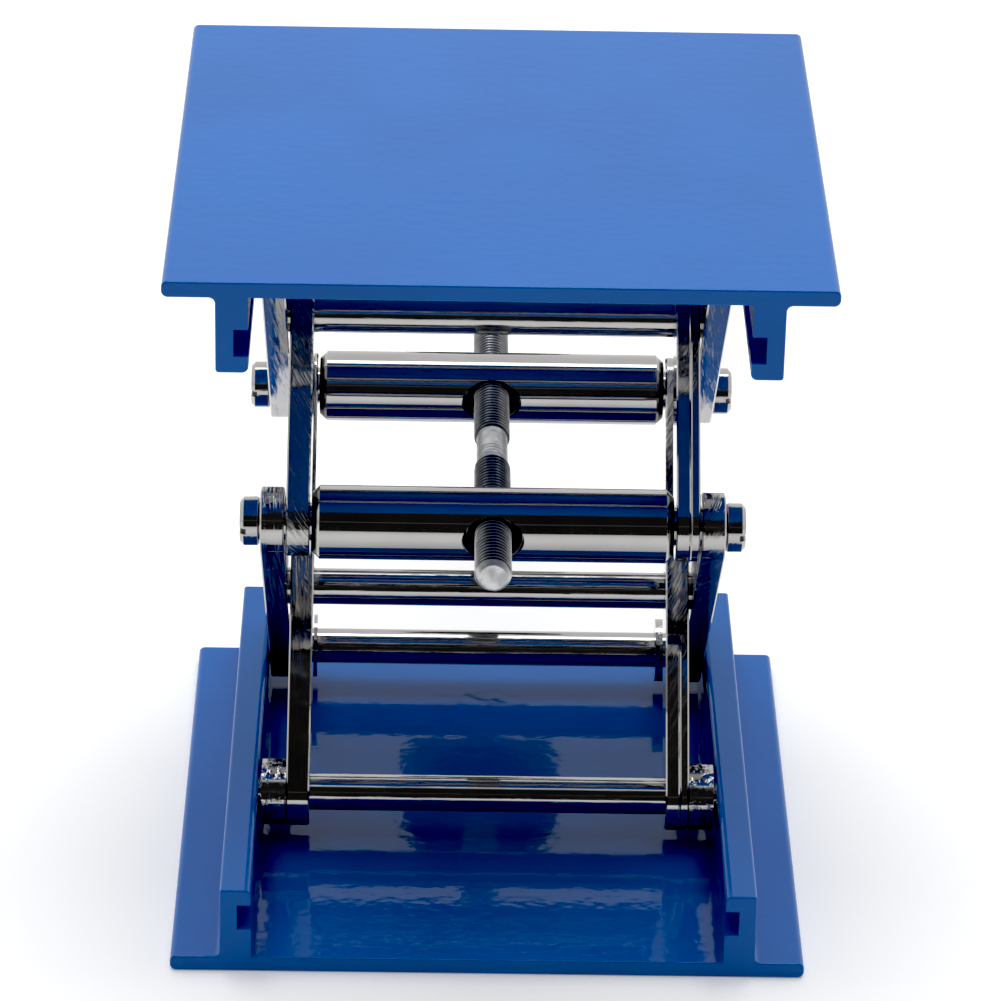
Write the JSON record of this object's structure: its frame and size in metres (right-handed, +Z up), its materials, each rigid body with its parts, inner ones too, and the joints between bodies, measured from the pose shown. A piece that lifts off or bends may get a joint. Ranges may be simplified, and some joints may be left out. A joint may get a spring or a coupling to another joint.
{
  "type": "lab jack",
  "caption": "Scissor lifting platform for laboratory glassware: a square top on crossed arms, raised and lowered by a horizontal screw with a knob.",
  "frame": {"origin": "middle of the base plate's underside", "axes": "+Z up, +X the jack's right, +Y its back, where the knob is"},
  "size_m": [0.1, 0.157, 0.1196],
  "materials": {
    "blue_paint": "gloss powder coat with light orange peel",
    "ground_chrome_arm": "bright plated, with grinding marks on its edges",
    "chrome_rod": "polished",
    "chrome_barrel": "polished, turned ends",
    "chrome_pin": "polished, turned",
    "chrome_spacer": "polished",
    "zinc_screw": "satin zinc plate",
    "zinc_fastener": "satin zinc plate",
    "black_knob": "moulded, slightly glossy"
  },
  "bodies": {
    "base": {"base_plate": "blue_paint", "base_fixed_rod": "chrome_rod", "base_rod_screw_left": "zinc_fastener", "base_rod_screw_right": "zinc_fastener", "base_fixed_spacer_left": "chrome_spacer", "base_fixed_spacer_right": "chrome_spacer"},
    "lower_outer": {"lower_outer_arm_left": "ground_chrome_arm", "lower_outer_arm_right": "ground_chrome_arm", "lower_cross_rod": "chrome_rod"},
    "lower_inner": {"lower_inner_arm_left": "ground_chrome_arm", "lower_inner_arm_right": "ground_chrome_arm", "base_sliding_rod": "chrome_rod", "base_sliding_spacer_left": "chrome_spacer", "base_sliding_spacer_right": "chrome_spacer"},
    "front_barrel": {"front_barrel": "chrome_barrel", "front_barrel_pin_left": "chrome_pin", "front_barrel_pin_right": "chrome_pin"},
    "rear_barrel": {"rear_barrel": "chrome_barrel", "rear_barrel_pin_left": "chrome_pin", "rear_barrel_pin_right": "chrome_pin"},
    "upper_inner": {"upper_inner_arm_left": "ground_chrome_arm", "upper_inner_arm_right": "ground_chrome_arm"},
    "upper_outer": {"upper_outer_arm_left": "ground_chrome_arm", "upper_outer_arm_right": "ground_chrome_arm", "upper_cross_rod": "chrome_rod", "top_sliding_rod": "chrome_rod", "top_sliding_spacer_left": "chrome_spacer", "top_sliding_spacer_right": "chrome_spacer"},
    "platform": {"top_plate": "blue_paint", "top_fixed_rod": "chrome_rod", "top_rod_screw_left": "zinc_fastener", "top_rod_screw_right": "zinc_fastener", "top_fixed_spacer_left": "chrome_spacer", "top_fixed_spacer_right": "chrome_spacer"},
    "screw": {"lift_screw": "zinc_screw", "knob": "black_knob", "knob_grub_screw": "zinc_fastener"}
  },
  "joints": [
    {"name": "lower_outer_lift", "type": "hinge", "parent": "base", "child": "lower_outer", "pos_m": [0, 0.0379, 0.0099], "axis": [-1, 0, 0], "range_deg": [-34.91, 22.55]},
    {"name": "lower_cross", "type": "hinge", "parent": "lower_outer", "child": "lower_inner", "pos_m": [0, 0.01335, 0.03485], "axis": [1, 0, 0], "range_deg": [-69.8, 45.07]},
    {"name": "front_barrel_level", "type": "hinge", "parent": "lower_outer", "child": "front_barrel", "pos_m": [0, -0.01119, 0.0598], "axis": [1, 0, 0], "range_deg": [-34.91, 22.55]},
    {"name": "rear_barrel_level", "type": "hinge", "parent": "lower_inner", "child": "rear_barrel", "pos_m": [0, 0.0379, 0.0598], "axis": [-1, 0, 0], "range_deg": [-34.91, 22.55]},
    {"name": "upper_inner_lift", "type": "hinge", "parent": "lower_outer", "child": "upper_inner", "pos_m": [0, -0.01119, 0.0598], "axis": [1, 0, 0], "range_deg": [-69.8, 45.07]},
    {"name": "upper_cross", "type": "hinge", "parent": "upper_inner", "child": "upper_outer", "pos_m": [0, 0.01335, 0.08475], "axis": [-1, 0, 0], "range_deg": [-69.8, 45.07]},
    {"name": "platform_level", "type": "hinge", "parent": "upper_inner", "child": "platform", "pos_m": [0, 0.0379, 0.1097], "axis": [-1, 0, 0], "range_deg": [-34.91, 22.55]},
    {"name": "screw_turn", "type": "hinge", "parent": "front_barrel", "child": "screw", "pos_m": [0, 0.01335, 0.0598], "axis": [0, -1, 0], "range_deg": [-4657.5, 3007]}
  ],
  "couplings": [
    {"joint": "lower_outer_lift", "follows": "screw_turn", "ratio": 0.0074911},
    {"joint": "lower_cross", "follows": "screw_turn", "ratio": 0.014982},
    {"joint": "front_barrel_level", "follows": "screw_turn", "ratio": 0.0074911},
    {"joint": "rear_barrel_level", "follows": "screw_turn", "ratio": 0.0074911},
    {"joint": "upper_inner_lift", "follows": "screw_turn", "ratio": 0.014982},
    {"joint": "upper_cross", "follows": "screw_turn", "ratio": 0.014982},
    {"joint": "platform_level", "follows": "screw_turn", "ratio": 0.0074911}
  ]
}
